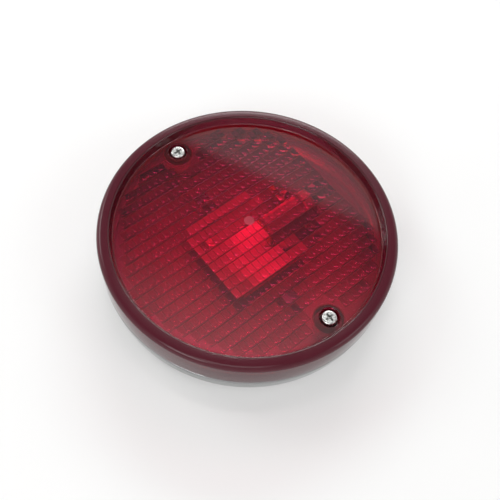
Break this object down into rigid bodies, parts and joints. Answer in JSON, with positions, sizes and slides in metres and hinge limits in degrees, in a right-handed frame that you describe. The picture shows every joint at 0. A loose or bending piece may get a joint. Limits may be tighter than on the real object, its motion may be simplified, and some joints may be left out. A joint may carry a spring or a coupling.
{
  "type": "tail light",
  "caption": "Round red rear lamp: prismatic screw-on lens over a chromed pressed pan, with a bayonet bulb, sprung holder and reflector tray inside.",
  "frame": {"origin": "centre of the flat back of the lamp, on the surface it lies on", "axes": "+Z the way the lamp shines, +Y towards the upper lens screw, +X along the bulb from its glass to its cap"},
  "size_m": [0.14, 0.14, 0.03],
  "materials": {
    "lens_red": "clear red moulded acrylic",
    "chrome": "polished plating",
    "rubber": "matt black",
    "zinc": "bright zinc plating",
    "tin": "bright tinned sheet",
    "brass": "plain",
    "phenolic": "brown moulded phenolic",
    "bulb_glass": "clear",
    "tungsten": "drawn wire"
  },
  "bodies": {
    "base": {"base_pan": "chrome", "seat_pad": "rubber", "lens_gasket": "rubber", "screw_post_top": "zinc", "screw_post_bottom": "zinc", "reflector_tray": "tin", "tray_rivet_top": "tin", "tray_rivet_bottom": "tin", "bulb_holder": "tin", "holder_end_disc": "phenolic", "contact_spring": "tin", "holder_clamp": "tin", "clamp_rivet_top": "tin", "clamp_rivet_bottom": "tin", "earth_tag": "brass", "mount_nut_top": "zinc", "mount_nut_bottom": "zinc", "cable_grommet": "rubber"},
    "lens": {"lens": "lens_red"},
    "washer_top": {"screw_washer_top": "rubber"},
    "screw_top": {"lens_screw_top": "zinc"},
    "washer_bottom": {"screw_washer_bottom": "rubber"},
    "screw_bottom": {"lens_screw_bottom": "zinc"},
    "bulb": {"bulb_glass": "bulb_glass", "bulb_cap": "brass", "cap_insulator": "phenolic", "solder_contact": "tin", "bayonet_pin_top": "brass", "bayonet_pin_bottom": "brass", "glass_stem": "bulb_glass", "lead_wire_top": "tungsten", "lead_wire_bottom": "tungsten", "filament": "tungsten"},
    "contact": {"contact_carrier": "phenolic", "contact_button": "brass", "contact_tag": "brass"}
  },
  "joints": [
    {"name": "lens_lift", "type": "slide", "parent": "base", "child": "lens", "axis": [0, 0, 1], "range_m": [0, 0.05]},
    {"name": "screw_top_rise", "type": "slide", "parent": "lens", "child": "washer_top", "axis": [0, 0, 1], "range_m": [0, 0.0077]},
    {"name": "screw_top_turn", "type": "hinge", "parent": "washer_top", "child": "screw_top", "pos_m": [0, 0.0562, 0.0236], "axis": [0, 0, 1], "range_deg": [0, 3965]},
    {"name": "screw_bottom_rise", "type": "slide", "parent": "lens", "child": "washer_bottom", "axis": [0, 0, 1], "range_m": [0, 0.0077]},
    {"name": "screw_bottom_turn", "type": "hinge", "parent": "washer_bottom", "child": "screw_bottom", "pos_m": [0, -0.0562, 0.0236], "axis": [0, 0, 1], "range_deg": [0, 3965]},
    {"name": "bulb_push", "type": "slide", "parent": "base", "child": "bulb", "axis": [1, 0, 0], "range_m": [0, 0.0015], "stiffness_N_per_m": 3000},
    {"name": "contact_slide", "type": "slide", "parent": "base", "child": "contact", "axis": [1, 0, 0], "range_m": [0, 0.00151], "deforming": ["contact_spring"]}
  ],
  "couplings": [
    {"joint": "screw_top_turn", "follows": "screw_top_rise", "rad_per_m": 8976},
    {"joint": "screw_bottom_turn", "follows": "screw_bottom_rise", "rad_per_m": 8976},
    {"joint": "contact_slide", "follows": "bulb_push", "ratio": 1}
  ]
}
